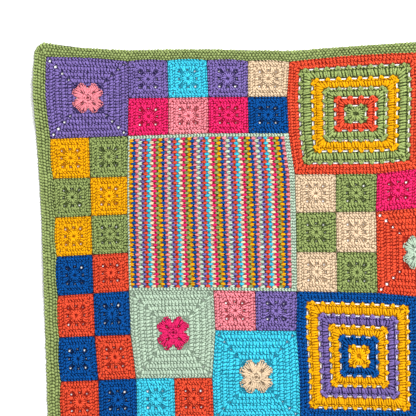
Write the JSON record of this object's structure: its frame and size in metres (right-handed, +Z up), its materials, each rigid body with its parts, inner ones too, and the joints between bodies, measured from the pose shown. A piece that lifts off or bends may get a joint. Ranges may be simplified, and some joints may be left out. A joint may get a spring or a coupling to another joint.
{
  "type": "crochet throw",
  "caption": "Crocheted patchwork throw laid flat: flower, granny and striped squares sewn together inside a narrow crocheted border.",
  "frame": {"origin": "centre of the throw's box, on the surface that it lies on", "axes": "+Z up, out of the throw's face; +Y towards its top edge; +X to the right of its face"},
  "size_m": [0.9575, 1.0957, 0.0092],
  "materials": {
    "purple": "matt crocheted yarn",
    "pink": "matt crocheted yarn",
    "magenta": "matt crocheted yarn",
    "turquoise": "matt crocheted yarn",
    "peach": "matt crocheted yarn",
    "navy": "matt crocheted yarn",
    "orange": "matt crocheted yarn",
    "green": "matt crocheted yarn",
    "yellow": "matt crocheted yarn",
    "mint": "matt crocheted yarn"
  },
  "bodies": {
    "root": {"border_bottom": "green", "border_left": "green", "border_right": "green", "border_top": "green", "flower_r0c0": "purple", "flower_r12c0": "turquoise", "flower_r12c2": "peach", "flower_r12c4": "magenta", "flower_r4c10": "purple", "flower_r4c8": "orange", "flower_r6c2": "mint", "flower_r7c4": "turquoise", "flower_r9c10": "turquoise", "flower_r9c6": "pink", "flower_r9c8": "yellow", "granny_r0c6": "orange", "granny_r11c6": "orange", "granny_r11c9": "navy", "granny_r1c9": "turquoise", "granny_r6c6": "navy", "granny_r6c9": "magenta", "granny_r9c0": "purple", "granny_r9c3": "green", "small_r0c10": "peach", "small_r0c11": "purple", "small_r0c2": "purple", "small_r0c3": "turquoise", "small_r0c4": "purple", "small_r0c5": "peach", "small_r0c9": "turquoise", "small_r1c2": "magenta", "small_r1c3": "pink", "small_r1c4": "magenta", "small_r1c5": "navy", "small_r2c0": "yellow", "small_r2c1": "green", "small_r3c0": "green", "small_r3c1": "yellow", "small_r3c6": "peach", "small_r3c7": "green", "small_r3c8": "magenta", "small_r4c0": "yellow", "small_r4c1": "green", "small_r4c6": "green", "small_r4c7": "peach", "small_r5c0": "navy", "small_r5c1": "orange", "small_r5c6": "peach", "small_r5c7": "green", "small_r6c0": "orange", "small_r6c1": "navy", "small_r6c4": "pink", "small_r6c5": "purple", "small_r7c0": "navy", "small_r7c1": "orange", "small_r8c0": "orange", "small_r8c1": "navy", "small_r8c2": "turquoise", "small_r8c3": "orange", "stripes_r2c2": "mint"}
  },
  "joints": []
}
